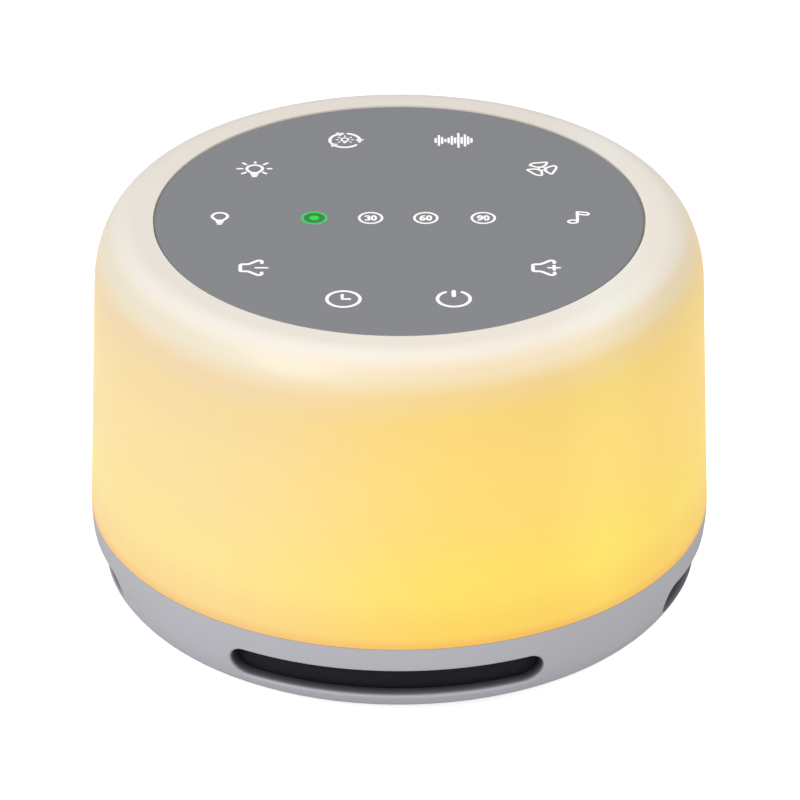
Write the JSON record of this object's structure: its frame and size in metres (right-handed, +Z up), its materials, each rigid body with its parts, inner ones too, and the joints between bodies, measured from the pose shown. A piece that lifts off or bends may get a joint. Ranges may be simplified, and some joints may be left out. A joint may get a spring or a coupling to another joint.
{
  "type": "white noise sound machine",
  "caption": "Round bedside white noise sound machine with a glowing translucent shade, a flush touch panel with icons and a slotted speaker base.",
  "frame": {"origin": "on the standing surface under the middle of the feet", "axes": "+Z up; -Y is the front, the side the panel's icons are read from; +X is the reader's right"},
  "size_m": [0.105, 0.105, 0.0684],
  "materials": {
    "base_grey": "satin",
    "black_foam": "matt foam",
    "black_plastic": "matt",
    "cap_cloth": "treated cloth",
    "capacitor_can": "bare can",
    "chip_black": "moulded epoxy",
    "circuit_board": "green solder mask",
    "coil_wire": "enamelled copper",
    "cone_paper": "pressed paper",
    "cover_grey": "fine texture",
    "crystal_can": "bare can",
    "deflector_plastic": "moulded, satin",
    "ferrite": "sintered",
    "foam_tape": "matt foam",
    "foot_rubber": "matt",
    "former_foil": "thin foil",
    "frame_black": "satin black",
    "grommet_rubber": "soft rubber",
    "inlet_metal": "nickel plated",
    "led_body": "resin over the lamp",
    "light_wire": "insulated",
    "magnet_ferrite": "ground ferrite",
    "mesh_cloth": "fine black weave",
    "pad_foam": "conductive foam",
    "panel_grey": "smooth satin panel",
    "plated_iron": "zinc plated",
    "power_wire": "insulated",
    "ribbon_white": "laminated film",
    "screw_steel": "zinc plated",
    "shade_opal": "milky translucent, satin",
    "signal_wire": "insulated",
    "socket_white": "nylon",
    "spider_cloth": "impregnated cloth",
    "surround_rubber": "soft rubber",
    "terminal_board": "paper laminate with tinned tabs",
    "white_board": "white solder mask",
    "white_plastic": "moulded, satin"
  },
  "bodies": {
    "housing": {"amplifier_chip": "chip_black", "base_shell": "base_grey", "board_capacitors": "capacitor_can", "board_sockets": "socket_white", "bottom_cover": "cover_grey", "chamber_gasket": "black_foam", "chamber_screws": "screw_steel", "chassis": "white_plastic", "clock_crystal": "crystal_can", "controller_chip": "chip_black", "cover_screws": "screw_steel", "lamp_leds": "led_body", "lamp_shade": "shade_opal", "led_baffle": "black_plastic", "light_board": "white_board", "light_board_screws": "screw_steel", "light_socket": "socket_white", "light_wires": "light_wire", "main_board": "circuit_board", "main_board_screws": "screw_steel", "panel_adhesive": "foam_tape", "pole_yoke": "plated_iron", "power_inductor": "ferrite", "power_wires": "power_wire", "ribbon_socket": "socket_white", "ring_magnet": "magnet_ferrite", "rubber_feet": "foot_rubber", "shade_screws": "screw_steel", "slot_mesh": "mesh_cloth", "sound_deflector": "deflector_plastic", "sound_memory_chip": "chip_black", "speaker_chamber": "white_plastic", "speaker_frame": "frame_black", "speaker_gasket": "black_foam", "speaker_screws": "screw_steel", "speaker_terminals": "terminal_board", "speaker_wires": "signal_wire", "spider": "spider_cloth", "surround": "surround_rubber", "timer_leds": "led_body", "top_plate": "plated_iron", "touch_board": "circuit_board", "touch_board_screws": "screw_steel", "touch_chip": "chip_black", "touch_pads": "pad_foam", "touch_panel": "panel_grey", "touch_ribbon": "ribbon_white", "touch_socket": "socket_white", "usb_board": "circuit_board", "usb_board_screws": "screw_steel", "usb_socket": "inlet_metal", "usb_tongue": "black_plastic", "wire_grommet": "grommet_rubber"},
    "cone": {"speaker_cone": "cone_paper", "dust_cap": "cap_cloth", "coil_former": "former_foil", "voice_coil": "coil_wire"}
  },
  "joints": [
    {"name": "cone_travel", "type": "slide", "parent": "housing", "child": "cone", "axis": [0, 0, 1], "range_m": [-0.0012, 0.0012], "stiffness_N_per_m": 1500, "deforming": ["surround", "spider"]}
  ]
}
